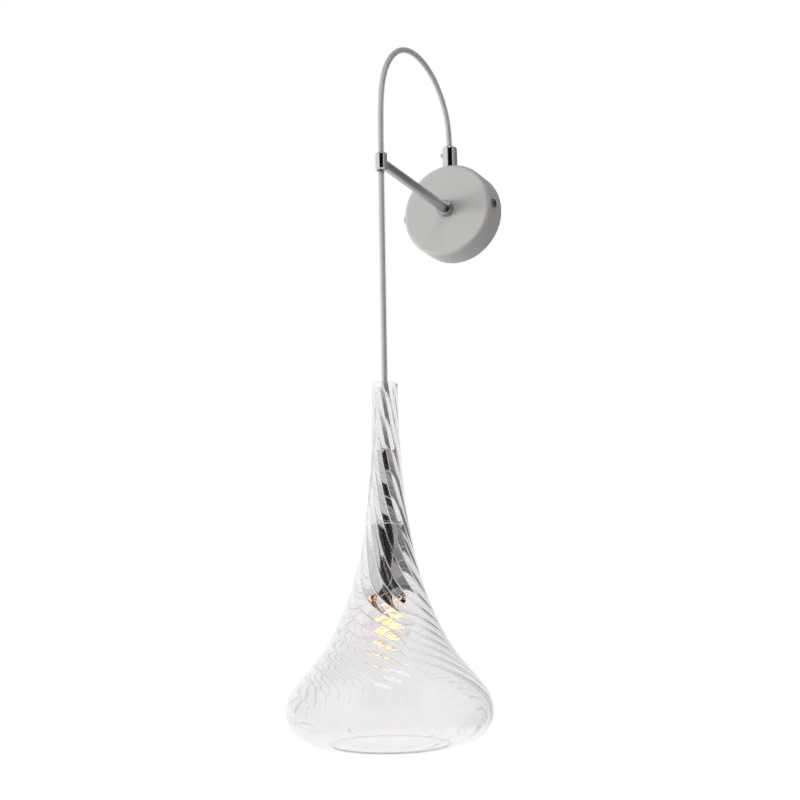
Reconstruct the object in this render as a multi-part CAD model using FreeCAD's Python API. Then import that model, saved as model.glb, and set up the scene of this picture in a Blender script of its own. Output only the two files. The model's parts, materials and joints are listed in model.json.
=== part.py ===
import FreeCAD, Part
import math
import os

from FreeCAD import Vector

# A wall light whose blown glass shade hangs on its own cord.  A round rose on the wall
# carries a short level arm; the cord leaves the top of the rose, arches over the arm, runs
# down through a sleeve at the arm's end and carries the lampholder, on which the glass rests.
#
# Frame: the wall is the plane y = 0, the room is at -Y and +Z is up.  The origin is the
# centre of the rose's back.  All sizes are in millimetres.

UP = Vector(0, 0, 1)
DOWN = Vector(0, 0, -1)
TO_ROOM = Vector(0, -1, 0)
TO_WALL = Vector(0, 1, 0)
TO_RIGHT = Vector(1, 0, 0)
WALL_CENTRE = Vector(0, 0, 0)

# ---------------------------------------------------------------- clearances
BODY_GAP = 0.3            # between pieces that move against each other
THREAD_GAP = 0.05         # radial, a screw in its thread or a piece pressed home
SOCKET_GAP = 0.1          # radial, round the bending spot of the cord
CORD_GAP = 0.1            # radial, the cord in a bore that grips it
SAME_POINT = 1e-6         # points nearer than this are one point

# ---------------------------------------------------------------- shares that repeat
SIDE_SHARE = 0.49         # most of an outline's side that one rounding may take
TIP_ROUNDING_SHARE = 0.3  # a screw's tip, against its radius
END_ROUNDING_SHARE = 0.35 # a headless screw's slotted end, against its radius
HEAD_ROUNDING_SHARE = 0.6 # a pan head, against its height
CROSS_LENGTH_SHARE = 1.1  # a head's cross, against its radius
CROSS_WIDTH_SHARE = 0.22
CROSS_DEPTH_SHARE = 0.55  # against the head's height
NUT_SIDES = 6

# ---------------------------------------------------------------- rose on the wall
ROSE_RADIUS = 50.0
ROSE_DEPTH = 29.3
ROSE_WALL = 2.0
ROSE_ROUNDING = 4.0

BRACKET_RADIUS = 43.0
BRACKET_THICKNESS = 1.5
CABLE_ENTRY_RADIUS = 9.0
WALL_SLOT_SPACING = 60.0
WALL_SLOT_WIDTH = 4.8
WALL_SLOT_LENGTH = 10.0
EAR_WIDTH = 14.0
EAR_THICKNESS = 2.0
EAR_DEPTH = 26.0

COVER_SCREW_FROM_WALL = 20.0
COVER_SCREW_RADIUS = 2.0
COVER_SCREW_HEAD_RADIUS = 4.75
COVER_SCREW_HEAD_HEIGHT = 2.2
COVER_SCREW_HOLE_GAP = 0.25
COVER_SCREW_PAST_EAR = 2.0

# ---------------------------------------------------------------- arm
ARM_REACH = 175.8         # wall to the axis of the sleeve
ROD_RADIUS = 5.0
COLLAR_RADIUS = 8.5
COLLAR_LENGTH = 8.0
COLLAR_ROUNDING = 3.0
STUD_RADIUS = 3.0
STUD_IN_ROD = 11.0
STUD_HOLE_GAP = 0.25
STUD_PAST_NUT = 2.0
ARM_WASHER_RADIUS = 9.0
ARM_WASHER_THICKNESS = 1.6
ARM_NUT_FLATS = 10.0
ARM_NUT_THICKNESS = 5.0
SLEEVE_RADIUS = 6.0
SLEEVE_TOP = 9.9
SLEEVE_BOTTOM = -8.7
SLEEVE_TOP_CHAMFER = 1.2
SLEEVE_BOTTOM_CHAMFER = 1.2
SLEEVE_FLARE = 1.0
SLEEVE_CORD_GAP = 0.3

# ---------------------------------------------------------------- cord
CORD_RADIUS = 3.15
CORE_RADIUS = 0.8         # one insulated conductor
CORE_OFFSET = 1.3         # from the cord's axis to a conductor's axis
LEAD_STRAIGHT = 4.0       # a conductor's straight ends
ARC_SHARE = 0.45          # share of the shorter run that an arc takes

# ---------------------------------------------------------------- gland on top of the rose
GLAND_FROM_WALL = 17.6
GLAND_RADIUS = 8.0
GLAND_TOP = 73.7
GLAND_ROUNDING = 2.2
NIPPLE_RADIUS = 5.0
NIPPLE_HOLE_GAP = 0.1
GLAND_NIPPLE_END = 41.0
GLAND_NUT_FLATS = 14.0
GLAND_NUT_THICKNESS = 3.5
GLAND_SCREW_HEIGHT = 65.0
GLAND_SCREW_AZIMUTH = -154.0   # degrees from +X towards +Y
GRUB_SCREW_RADIUS = 2.0
GLAND_SCREW_PROUD = 1.8
GRUB_SLOT_WIDTH = 0.8
GRUB_SLOT_DEPTH = 0.9
CORD_TAIL_END = 39.0

# ---------------------------------------------------------------- wiring inside the rose
BLOCK_WIDTH = 20.0
BLOCK_HEIGHT = 13.0
BLOCK_DEPTH = 12.0
BLOCK_BOTTOM = 12.0
POLE_SPACING = 10.0
POLE_DEPTH = 5.5          # from the bracket to the axis of a pole
INSERT_RADIUS = 2.2
INSERT_BORE = 1.1
INSERT_LENGTH = 11.0
POLE_SCREW_RADIUS = 1.3
POLE_SCREW_SPACING = 6.0
POLE_SCREW_SUNK = 1.0
FIXING_SCREW_RADIUS = 1.5
FIXING_HEAD_RADIUS = 2.5
FIXING_HEAD_HEIGHT = 1.8
FIXING_HEAD_SUNK = 4.0
EARTH_SCREW_X = 26.0
EARTH_SCREW_Z = 20.0
EARTH_SCREW_RADIUS = 2.0
EARTH_WASHER_RADIUS = 5.2
EARTH_WASHER_THICKNESS = 0.8
EARTH_HEAD_RADIUS = 3.8
EARTH_HEAD_HEIGHT = 2.4
# Two points that the earth conductor passes: share of its way along X, share of its first
# distance from the wall, height above its clamp.
EARTH_WAY = [(0.45, 0.85, 6.5), (0.8, 0.45, 4.0)]

# ---------------------------------------------------------------- pendant
GRIP_TOP = -298.0
GRIP_BOTTOM = -322.0
STEM_RADIUS = 8.35
STEM_WALL = 1.0
GRIP_ROUNDING = 1.5
JOINT_ROUNDING = 0.3      # where the grip and the stem meet
GRIP_THREAD_DEPTH = 8.0
GRIP_SCREW_DROP = 7.0
CUP_TOP = -374.0
CUP_BOTTOM = -443.0
CUP_TOP_RADIUS = 18.25
CUP_BOTTOM_RADIUS = 20.25
CUP_WALL = 1.0
CUP_ROUNDING = 1.5
HOLDER_NIPPLE_GAP = 0.35  # radial, round the cord
HOLDER_NIPPLE_IN_HOLDER = 5.0
CUP_NUT_FLATS = 14.0
CUP_NUT_THICKNESS = 3.5

HOLDER_RADIUS = 16.2
HOLDER_TOP_ROUNDING = 1.0
HOLDER_RIM_ROUNDING = 0.5
HOLDER_RECESS = 3.0       # the insulator ends this far above the cup's mouth
HOLDER_ROOF = 6.0
HOLDER_FLOOR_TOP = -404.0
HOLDER_FLOOR = 6.0
WIRE_ROOM_RADIUS = 11.5
THREAD_SHELL_RADIUS = 14.35
THREAD_SHELL_BORE = 13.4
THREAD_SHELL_RECESS = 2.0
CONTACT_THICKNESS = 0.6
CONTACT_WIDTH = 5.0
CONTACT_KNOB_RADIUS = 2.5
CONTACT_KNOB_DROP = 2.6
HOLDER_SCREW_OFFSET = 6.5
HOLDER_SCREW_RADIUS = 1.5
HOLDER_SCREW_HEAD_RADIUS = 2.6
HOLDER_SCREW_HEAD_HEIGHT = 2.0
HOLDER_CORD_END = -386.5

# ---------------------------------------------------------------- bulb
BULB_CAP_RADIUS = 13.1
BULB_CAP_WALL = 0.4
BULB_CAP_LENGTH = 23.0
BULB_CAP_RIM = -441.0
BULB_CAP_CROWN = 2.0
BULB_CAP_RIM_ROUNDING = 0.1
BULB_CAP_SHOULDER_ROUNDING = 1.0
BULB_CROWN_RADIUS = 9.0
BULB_CONTACT_RADIUS = 2.3
BULB_CONTACT_LENGTH = 3.0
BULB_CONTACT_PROUD = 1.0
VITRITE_TOP_RADIUS = 5.5
VITRITE_DEPTH = 2.5
GLOBE_RADIUS = 22.5
GLOBE_CENTRE = -468.5
GLOBE_WALL = 0.8
BULB_NECK_IN_CAP = 14.0
BULB_NECK_BELOW_CAP = 1.0
BULB_NECK_FLARE = 9.0
NECK_JOIN_SHARE = 0.82    # where the neck's flare meets the globe, against its radius
MOUNT_FLARE_THICKNESS = 2.0
MOUNT_ROD_RADIUS = 1.8
MOUNT_ROD_END = -486.0
MOUNT_ROUNDING_SHARE = 0.9
FILAMENT_RADIUS = 0.3
FILAMENT_TOP = -452.0
FILAMENT_BOTTOM = -484.0
FILAMENT_TOP_RADIUS = 8.0
FILAMENT_BOTTOM_RADIUS = 10.5
FILAMENT_LOOPS = 5
SUPPORT_WIRE_RADIUS = 0.25
SUPPORT_GAP = 0.1

# ---------------------------------------------------------------- glass shade
NECK_TOP = -233.0
SHADE_WALL = 2.4
SHADE_HEIGHT = 349.0
NECK_RADIUS = 13.0
WIDEST_RADIUS = 97.4
OPENING_RADIUS = 54.0
# Outer outline from the neck's rim down to the rim of the opening: radius, drop.
SHADE_OUTLINE = [
    (NECK_RADIUS, 0.0),
    (12.45, 12.0),
    (12.7, 29.0),
    (14.9, 77.0),
    (19.5, 127.0),
    (28.2, 177.0),
    (44.6, 227.0),
    (65.0, 265.0),
    (88.8, 295.0),
    (95.4, 307.0),
    (WIDEST_RADIUS, 318.0),
    (91.8, 333.0),
    (75.0, 345.0),
    (OPENING_RADIUS + SHADE_WALL / 2, SHADE_HEIGHT),
]
OUTLINE_SAMPLES = 40      # stations at which the wall is set off to the inside
RING_THICKNESS = 1.8
RING_BORE = 14.5

# The cord's free stretch: from the gland over the arch and down to the sleeve's mouth, as
# points (y, z) in the plane x = 0.
ARCH_POINTS = [
    (-GLAND_FROM_WALL, GLAND_TOP),
    (-GLAND_FROM_WALL, 84.5),
    (-21.2, 106.2),
    (-35.8, 128.3),
    (-57.0, 143.2),
    (-82.6, 150.4),
    (-109.1, 149.6),
    (-133.0, 140.3),
    (-153.2, 123.3),
    (-167.5, 101.1),
    (-173.8, 76.5),
    (-175.4, 48.5),
    (-ARM_REACH, 20.0),
    (-ARM_REACH, SLEEVE_BOTTOM),
]

# ---------------------------------------------------------------- places that follow
PIVOT = Vector(0, -ARM_REACH, SLEEVE_BOTTOM)
SOCKET_LIP = CORD_RADIUS / 2        # the cord's two ends stop this far from the pivot
PENDANT_AXIS = Vector(0, -ARM_REACH, 0)
GLAND_AXIS = Vector(0, -GLAND_FROM_WALL, 0)
EAR_FACE = math.sqrt((ROSE_RADIUS - ROSE_WALL) ** 2 - (EAR_WIDTH / 2) ** 2) - BODY_GAP
HOLDER_TOP = CUP_TOP - CUP_WALL - CUP_NUT_THICKNESS
HOLDER_BOTTOM = CUP_BOTTOM + HOLDER_RECESS
HOLDER_SOCKET_TOP = HOLDER_FLOOR_TOP - HOLDER_FLOOR
CONTACT_BOTTOM = HOLDER_SOCKET_TOP - CONTACT_THICKNESS
BULB_TIP = CONTACT_BOTTOM - CONTACT_KNOB_DROP - BODY_GAP
BULB_CAP_TOP = BULB_CAP_RIM + BULB_CAP_LENGTH


# ---------------------------------------------------------------- helpers
def place(shape, base, direction):
    """Turn a shape built round +Z so that +Z becomes direction, and move it to base."""
    shape.Placement = FreeCAD.Placement(base, FreeCAD.Rotation(UP, direction))
    return shape


def polygon_with_roundings(corners):
    """Closed wire in the XZ plane through (radius, height[, rounding]) corners."""
    count = len(corners)
    points = [Vector(corner[0], 0, corner[1]) for corner in corners]
    starts = []
    arcs = []
    for i in range(count):
        here = points[i]
        before = points[i - 1] - here
        after = points[(i + 1) % count] - here
        rounding = corners[i][2] if len(corners[i]) > 2 else 0.0
        if rounding == 0.0:
            starts.append((here, here))
            arcs.append(None)
            continue
        half = before.getAngle(after) / 2
        shorter = min(before.Length, after.Length)
        reach = min(rounding / math.tan(half), SIDE_SHARE * shorter)
        radius = reach * math.tan(half)
        bisector = (before.normalize() + after.normalize()).normalize()
        enter = here + before * reach
        leave = here + after * reach
        middle = here + bisector * (radius / math.sin(half) - radius)
        starts.append((enter, leave))
        arcs.append(Part.Arc(enter, middle, leave).toShape())
    edges = []
    for i in range(count):
        if arcs[i]:
            edges.append(arcs[i])
        line_start = starts[i][1]
        line_end = starts[(i + 1) % count][0]
        if line_start.distanceToPoint(line_end) > SAME_POINT:
            edges.append(Part.LineSegment(line_start, line_end).toShape())
    return Part.Wire(edges)


def lathe(corners, base=PENDANT_AXIS, direction=UP):
    """Solid of revolution of a (radius, height[, rounding]) outline, in one full turn."""
    face = Part.Face(polygon_with_roundings(corners))
    solid = face.revolve(Vector(0, 0, 0), UP, 360)
    return place(solid, base, direction)


def cylinder(radius, length, base, direction):
    return Part.makeCylinder(radius, length, base, direction)


def tube_ring(outer, inner, low, high, base=PENDANT_AXIS, direction=UP):
    return lathe([(inner, low), (outer, low), (outer, high), (inner, high)], base, direction)


def hex_nut(flats, thickness, bore, base, direction):
    """Nut that starts at base and is thickness long along direction."""
    corner_radius = flats / math.sqrt(3)
    corners = []
    for k in range(NUT_SIDES + 1):
        angle = 2 * math.pi * k / NUT_SIDES
        corners.append(Vector(math.cos(angle), math.sin(angle), 0) * corner_radius)
    prism = Part.Face(Part.makePolygon(corners)).extrude(Vector(0, 0, thickness))
    crown = lathe([
        (0, 0),
        (flats / 2, 0),
        (corner_radius + THREAD_GAP, (corner_radius - flats / 2) / 2),
        (corner_radius + THREAD_GAP, thickness - (corner_radius - flats / 2) / 2),
        (flats / 2, thickness),
        (0, thickness),
    ], Vector(0, 0, 0), UP)
    hole = cylinder(bore, thickness, Vector(0, 0, 0), UP)
    return place(prism.common(crown).cut(hole), base, direction)


def pan_screw(shank_radius, shank_length, head_radius, head_height, base, direction):
    """Cross-head screw: its head's underside is at base, its shank runs along direction."""
    body = lathe([
        (0, -head_height),
        (head_radius, -head_height, head_height * HEAD_ROUNDING_SHARE),
        (head_radius, 0),
        (shank_radius, 0),
        (shank_radius, shank_length, shank_radius * TIP_ROUNDING_SHARE),
        (0, shank_length),
    ], Vector(0, 0, 0), UP)
    arm_length = head_radius * CROSS_LENGTH_SHARE
    arm_width = head_radius * CROSS_WIDTH_SHARE
    cross_depth = head_height * CROSS_DEPTH_SHARE
    for length, width in ((arm_length, arm_width), (arm_width, arm_length)):
        corner = Vector(-length / 2, -width / 2, -head_height)
        body = body.cut(Part.makeBox(length, width, cross_depth, corner))
    return place(body, base, direction)


def grub_screw(radius, length, base, direction):
    """Slotted headless screw whose tip is at base; its slotted end is at the far end."""
    body = lathe([
        (0, 0),
        (radius, 0, radius * TIP_ROUNDING_SHARE),
        (radius, length, radius * END_ROUNDING_SHARE),
        (0, length),
    ], Vector(0, 0, 0), UP)
    corner = Vector(-radius, -GRUB_SLOT_WIDTH / 2, length - GRUB_SLOT_DEPTH)
    slot = Part.makeBox(2 * radius, GRUB_SLOT_WIDTH, GRUB_SLOT_DEPTH, corner)
    return place(body.cut(slot), base, direction)


def path_of(points, name):
    """Straight runs joined by tangent arcs, each arc as large as its two runs allow."""
    edges = []
    radii = []
    start = points[0]
    for i in range(1, len(points) - 1):
        before = points[i - 1] - points[i]
        after = points[i + 1] - points[i]
        half_turn = (math.pi - before.getAngle(after)) / 2
        reach = ARC_SHARE * min(before.Length, after.Length)
        radius = reach / math.tan(half_turn)
        bisector = (before.normalize() + after.normalize()).normalize()
        enter = points[i] + before * reach
        leave = points[i] + after * reach
        middle = points[i] + bisector * (radius / math.cos(half_turn) - radius)
        edges.append(Part.LineSegment(start, enter).toShape())
        edges.append(Part.Arc(enter, middle, leave).toShape())
        radii.append(round(radius, 1))
        start = leave
    edges.append(Part.LineSegment(start, points[-1]).toShape())
    wire = Part.Wire(edges)
    print(name, "length", round(wire.Length, 1), "arc radii", radii)
    return wire


def tube(points, radius, name):
    """Round solid along a path; its volume is printed against section times length."""
    wire = path_of(points, name)
    direction = (points[1] - points[0]).normalize()
    section = Part.Wire(Part.makeCircle(radius, points[0], direction))
    solid = wire.makePipeShell([section], True, False)
    expected = math.pi * radius ** 2 * wire.Length
    print(name, "volume over section times length", round(solid.Volume / expected, 4))
    return solid


# ---------------------------------------------------------------- rose
def wall_bracket():
    plate = cylinder(BRACKET_RADIUS, BRACKET_THICKNESS, WALL_CENTRE, TO_ROOM)
    tabs = Part.makeBox(2 * EAR_FACE, BRACKET_THICKNESS, EAR_WIDTH,
                        Vector(-EAR_FACE, -BRACKET_THICKNESS, -EAR_WIDTH / 2))
    body = plate.fuse(tabs)
    for side in (-1, 1):
        inner_x = side * EAR_FACE - (EAR_THICKNESS if side > 0 else 0)
        ear = Part.makeBox(EAR_THICKNESS, EAR_DEPTH, EAR_WIDTH,
                           Vector(inner_x, -EAR_DEPTH, -EAR_WIDTH / 2))
        body = body.fuse(ear)
    body = body.removeSplitter()
    body = body.cut(cylinder(CABLE_ENTRY_RADIUS, BRACKET_THICKNESS, WALL_CENTRE, TO_ROOM))
    for side in (-1, 1):
        body = body.cut(wall_slot(side * WALL_SLOT_SPACING / 2))
    screw_line = Vector(-ROSE_RADIUS, -COVER_SCREW_FROM_WALL, 0)
    thread = COVER_SCREW_RADIUS + THREAD_GAP
    body = body.cut(cylinder(thread, 2 * ROSE_RADIUS, screw_line, TO_RIGHT))
    for x, z, radius in ((0, block_middle_height(), FIXING_SCREW_RADIUS),
                         (EARTH_SCREW_X, EARTH_SCREW_Z, EARTH_SCREW_RADIUS)):
        hole = cylinder(radius + THREAD_GAP, BRACKET_THICKNESS, Vector(x, 0, z), TO_ROOM)
        body = body.cut(hole)
    return body


def wall_slot(centre_x):
    straight = WALL_SLOT_LENGTH - WALL_SLOT_WIDTH
    slot = Part.makeBox(straight, BRACKET_THICKNESS, WALL_SLOT_WIDTH,
                        Vector(centre_x - straight / 2, -BRACKET_THICKNESS, -WALL_SLOT_WIDTH / 2))
    for end in (-1, 1):
        centre = Vector(centre_x + end * straight / 2, 0, 0)
        slot = slot.fuse(cylinder(WALL_SLOT_WIDTH / 2, BRACKET_THICKNESS, centre, TO_ROOM))
    return slot


def rose_cover():
    inner_radius = ROSE_RADIUS - ROSE_WALL
    front = ROSE_DEPTH - ROSE_WALL
    centre_hole = STUD_RADIUS + STUD_HOLE_GAP
    shell = lathe([
        (ROSE_RADIUS, 0),
        (ROSE_RADIUS, ROSE_DEPTH, ROSE_ROUNDING),
        (centre_hole, ROSE_DEPTH),
        (centre_hole, front),
        (inner_radius, front, ROSE_ROUNDING - ROSE_WALL),
        (inner_radius, 0),
    ], WALL_CENTRE, TO_ROOM)
    gland_hole = cylinder(NIPPLE_RADIUS + NIPPLE_HOLE_GAP, ROSE_RADIUS, GLAND_AXIS, UP)
    screw_line = Vector(-ROSE_RADIUS, -COVER_SCREW_FROM_WALL, 0)
    screw_holes = cylinder(COVER_SCREW_RADIUS + COVER_SCREW_HOLE_GAP, 2 * ROSE_RADIUS,
                           screw_line, TO_RIGHT)
    return shell.cut(gland_hole).cut(screw_holes)


def cover_screws():
    length = ROSE_RADIUS - EAR_FACE + EAR_THICKNESS + COVER_SCREW_PAST_EAR
    screws = []
    for side in (-1, 1):
        seat = Vector(side * ROSE_RADIUS, -COVER_SCREW_FROM_WALL, 0)
        screws.append(pan_screw(COVER_SCREW_RADIUS, length, COVER_SCREW_HEAD_RADIUS,
                                COVER_SCREW_HEAD_HEIGHT, seat, Vector(-side, 0, 0)))
    return Part.makeCompound(screws)


# ---------------------------------------------------------------- arm
def arm_collar():
    return lathe([
        (ROD_RADIUS + THREAD_GAP, ROSE_DEPTH),
        (COLLAR_RADIUS, ROSE_DEPTH),
        (COLLAR_RADIUS, ROSE_DEPTH + COLLAR_LENGTH, COLLAR_ROUNDING),
        (ROD_RADIUS + THREAD_GAP, ROSE_DEPTH + COLLAR_LENGTH),
    ], WALL_CENTRE, TO_ROOM)


def arm_rod():
    start = Vector(0, -ROSE_DEPTH, 0)
    rod = cylinder(ROD_RADIUS, ARM_REACH - ROSE_DEPTH, start, TO_ROOM)
    rod = rod.cut(cylinder(STUD_RADIUS + THREAD_GAP, STUD_IN_ROD + STUD_PAST_NUT, start, TO_ROOM))
    sleeve_space = cylinder(SLEEVE_RADIUS, 4 * ROD_RADIUS,
                            PENDANT_AXIS + DOWN * (2 * ROD_RADIUS), UP)
    return rod.cut(sleeve_space)


def arm_stud():
    inner_end = ROSE_DEPTH - ROSE_WALL - ARM_WASHER_THICKNESS - ARM_NUT_THICKNESS - STUD_PAST_NUT
    outer_end = ROSE_DEPTH + STUD_IN_ROD
    return lathe([
        (0, inner_end),
        (STUD_RADIUS, inner_end, STUD_RADIUS * TIP_ROUNDING_SHARE),
        (STUD_RADIUS, outer_end, STUD_RADIUS * TIP_ROUNDING_SHARE),
        (0, outer_end),
    ], WALL_CENTRE, TO_ROOM)


def arm_washer():
    outer_face = ROSE_DEPTH - ROSE_WALL
    return tube_ring(ARM_WASHER_RADIUS, STUD_RADIUS + STUD_HOLE_GAP,
                     outer_face - ARM_WASHER_THICKNESS, outer_face, WALL_CENTRE, TO_ROOM)


def arm_nut():
    outer_face = ROSE_DEPTH - ROSE_WALL - ARM_WASHER_THICKNESS
    return hex_nut(ARM_NUT_FLATS, ARM_NUT_THICKNESS, STUD_RADIUS + THREAD_GAP,
                   Vector(0, -outer_face, 0), TO_WALL)


def arm_sleeve():
    bore = CORD_RADIUS + SLEEVE_CORD_GAP
    return lathe([
        (bore + SLEEVE_FLARE, SLEEVE_BOTTOM),
        (SLEEVE_RADIUS - SLEEVE_BOTTOM_CHAMFER, SLEEVE_BOTTOM),
        (SLEEVE_RADIUS, SLEEVE_BOTTOM + SLEEVE_BOTTOM_CHAMFER),
        (SLEEVE_RADIUS, SLEEVE_TOP - SLEEVE_TOP_CHAMFER, SLEEVE_TOP_CHAMFER),
        (SLEEVE_RADIUS - SLEEVE_TOP_CHAMFER, SLEEVE_TOP),
        (bore, SLEEVE_TOP),
        (bore, SLEEVE_BOTTOM + SLEEVE_FLARE),
    ])


# ---------------------------------------------------------------- cord
def cord_arch():
    points = [Vector(0, y, z) for y, z in ARCH_POINTS[:-1]]
    points.append(PIVOT + UP * SOCKET_LIP)
    whole = tube(points, CORD_RADIUS, "cord_arch")
    return whole.cut(Part.makeSphere(CORD_RADIUS + SOCKET_GAP, PIVOT))


def cord_bend():
    """The spot at the sleeve's mouth where the cord bends when the pendant swings."""
    return Part.makeSphere(CORD_RADIUS, PIVOT)


def cord_drop():
    top = PIVOT + DOWN * SOCKET_LIP
    length = top.z - HOLDER_CORD_END
    whole = cylinder(CORD_RADIUS, length, top, DOWN)
    print("cord_drop length", round(length, 1))
    return whole.cut(Part.makeSphere(CORD_RADIUS + SOCKET_GAP, PIVOT))


def cord_tail():
    """The held end of the cord, from the gland's top into the rose."""
    return cylinder(CORD_RADIUS, GLAND_TOP - CORD_TAIL_END, GLAND_AXIS + UP * CORD_TAIL_END, UP)


# ---------------------------------------------------------------- gland
def gland_screw_direction():
    azimuth = math.radians(GLAND_SCREW_AZIMUTH)
    return Vector(math.cos(azimuth), math.sin(azimuth), 0)


def cable_gland():
    bore = CORD_RADIUS + CORD_GAP
    body = lathe([
        (bore, GLAND_NIPPLE_END),
        (GLAND_RADIUS, GLAND_NIPPLE_END),
        (GLAND_RADIUS, GLAND_TOP, GLAND_ROUNDING),
        (bore, GLAND_TOP),
    ], GLAND_AXIS, UP)
    body = body.cut(cylinder(ROSE_RADIUS, ROSE_DEPTH, WALL_CENTRE, TO_ROOM))
    nipple = tube_ring(NIPPLE_RADIUS, bore, GLAND_NIPPLE_END, ROSE_RADIUS + ROSE_WALL,
                       GLAND_AXIS, UP)
    body = body.fuse(nipple).removeSplitter()
    screw_base = GLAND_AXIS + UP * GLAND_SCREW_HEIGHT
    thread = cylinder(GRUB_SCREW_RADIUS + THREAD_GAP, 2 * GLAND_RADIUS, screw_base,
                      gland_screw_direction())
    return body.cut(thread)


def gland_grub_screw():
    direction = gland_screw_direction()
    tip = CORD_RADIUS + THREAD_GAP
    base = GLAND_AXIS + UP * GLAND_SCREW_HEIGHT + direction * tip
    return grub_screw(GRUB_SCREW_RADIUS, GLAND_RADIUS + GLAND_SCREW_PROUD - tip, base, direction)


def gland_locknut():
    corner_radius = GLAND_NUT_FLATS / math.sqrt(3)
    top = math.sqrt((ROSE_RADIUS - ROSE_WALL) ** 2 - corner_radius ** 2)
    return hex_nut(GLAND_NUT_FLATS, GLAND_NUT_THICKNESS, NIPPLE_RADIUS + THREAD_GAP,
                   GLAND_AXIS + UP * top, DOWN)


# ---------------------------------------------------------------- wiring in the rose
def block_middle_height():
    return BLOCK_BOTTOM + BLOCK_HEIGHT / 2


def pole_xs():
    return (-POLE_SPACING / 2, POLE_SPACING / 2)


def pole_screw_heights():
    middle = block_middle_height()
    return (middle - POLE_SCREW_SPACING / 2, middle + POLE_SCREW_SPACING / 2)


def pole_y():
    return -BRACKET_THICKNESS - POLE_DEPTH


def block_front():
    return -BRACKET_THICKNESS - BLOCK_DEPTH


def terminal_block():
    corner = Vector(-BLOCK_WIDTH / 2, block_front(), BLOCK_BOTTOM)
    body = Part.makeBox(BLOCK_WIDTH, BLOCK_DEPTH, BLOCK_HEIGHT, corner)
    for x in pole_xs():
        bore_base = Vector(x, pole_y(), BLOCK_BOTTOM)
        body = body.cut(cylinder(INSERT_RADIUS + THREAD_GAP, BLOCK_HEIGHT, bore_base, UP))
        for z in pole_screw_heights():
            hole = cylinder(POLE_SCREW_RADIUS + THREAD_GAP, BLOCK_DEPTH - POLE_DEPTH,
                            Vector(x, block_front(), z), TO_WALL)
            body = body.cut(hole)
    middle = Vector(0, block_front(), block_middle_height())
    body = body.cut(cylinder(FIXING_SCREW_RADIUS + THREAD_GAP, BLOCK_DEPTH, middle, TO_WALL))
    return body.cut(cylinder(FIXING_HEAD_RADIUS + THREAD_GAP, FIXING_HEAD_SUNK, middle, TO_WALL))


def terminal_inserts():
    inserts = []
    low = block_middle_height() - INSERT_LENGTH / 2
    for x in pole_xs():
        axis = Vector(x, pole_y(), 0)
        insert = tube_ring(INSERT_RADIUS, INSERT_BORE, low, low + INSERT_LENGTH, axis, UP)
        for z in pole_screw_heights():
            hole = cylinder(POLE_SCREW_RADIUS + THREAD_GAP, 2 * INSERT_RADIUS,
                            Vector(x, pole_y(), z), TO_ROOM)
            insert = insert.cut(hole)
        inserts.append(insert)
    return Part.makeCompound(inserts)


def terminal_screws():
    tip_y = pole_y() - CORE_RADIUS - THREAD_GAP
    length = tip_y - block_front() - POLE_SCREW_SUNK
    screws = []
    for x in pole_xs():
        for z in pole_screw_heights():
            screws.append(grub_screw(POLE_SCREW_RADIUS, length, Vector(x, tip_y, z), TO_ROOM))
    return Part.makeCompound(screws)


def terminal_fixing_screw():
    seat = Vector(0, block_front() + FIXING_HEAD_SUNK, block_middle_height())
    length = BLOCK_DEPTH - FIXING_HEAD_SUNK + BRACKET_THICKNESS
    return pan_screw(FIXING_SCREW_RADIUS, length, FIXING_HEAD_RADIUS, FIXING_HEAD_HEIGHT,
                     seat, TO_WALL)


def supply_lead(pole_x, name):
    """A conductor from the end of the cord's jacket down into its pole."""
    side = math.copysign(CORE_OFFSET, pole_x)
    mouth = block_middle_height() + INSERT_LENGTH / 2
    end = mouth - POLE_SCREW_SPACING
    points = [
        Vector(side, -GLAND_FROM_WALL, CORD_TAIL_END),
        Vector(side, -GLAND_FROM_WALL, CORD_TAIL_END - LEAD_STRAIGHT),
        Vector(pole_x, pole_y(), mouth + LEAD_STRAIGHT),
        Vector(pole_x, pole_y(), end),
    ]
    return tube(points, CORE_RADIUS, name)


def lead_brown():
    return supply_lead(pole_xs()[0], "lead_brown")


def lead_blue():
    return supply_lead(pole_xs()[1], "lead_blue")


def earth_clamp_y():
    """Place of a conductor's axis when it lies clamped on the bracket."""
    return -BRACKET_THICKNESS - CORE_RADIUS


def lead_earth():
    beside = EARTH_SCREW_RADIUS + CORE_RADIUS + THREAD_GAP
    clamp_z = EARTH_SCREW_Z + beside
    landing_x = EARTH_SCREW_X - EARTH_WASHER_RADIUS - LEAD_STRAIGHT
    start_y = -GLAND_FROM_WALL - CORE_OFFSET
    points = [
        Vector(0, start_y, CORD_TAIL_END),
        Vector(0, start_y, CORD_TAIL_END - 2 * LEAD_STRAIGHT),
    ]
    for share_x, share_y, above in EARTH_WAY:
        points.append(Vector(share_x * landing_x, share_y * start_y, clamp_z + above))
    points.append(Vector(landing_x, earth_clamp_y(), clamp_z))
    points.append(Vector(EARTH_SCREW_X + EARTH_WASHER_RADIUS, earth_clamp_y(), clamp_z))
    return tube(points, CORE_RADIUS, "lead_earth")


def earth_washer():
    low = BRACKET_THICKNESS + 2 * CORE_RADIUS
    return tube_ring(EARTH_WASHER_RADIUS, EARTH_SCREW_RADIUS + STUD_HOLE_GAP, low,
                     low + EARTH_WASHER_THICKNESS, Vector(EARTH_SCREW_X, 0, EARTH_SCREW_Z), TO_ROOM)


def earth_screw():
    grip = 2 * CORE_RADIUS + EARTH_WASHER_THICKNESS
    seat = Vector(EARTH_SCREW_X, -BRACKET_THICKNESS - grip, EARTH_SCREW_Z)
    return pan_screw(EARTH_SCREW_RADIUS, grip + BRACKET_THICKNESS, EARTH_HEAD_RADIUS,
                     EARTH_HEAD_HEIGHT, seat, TO_WALL)


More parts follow.
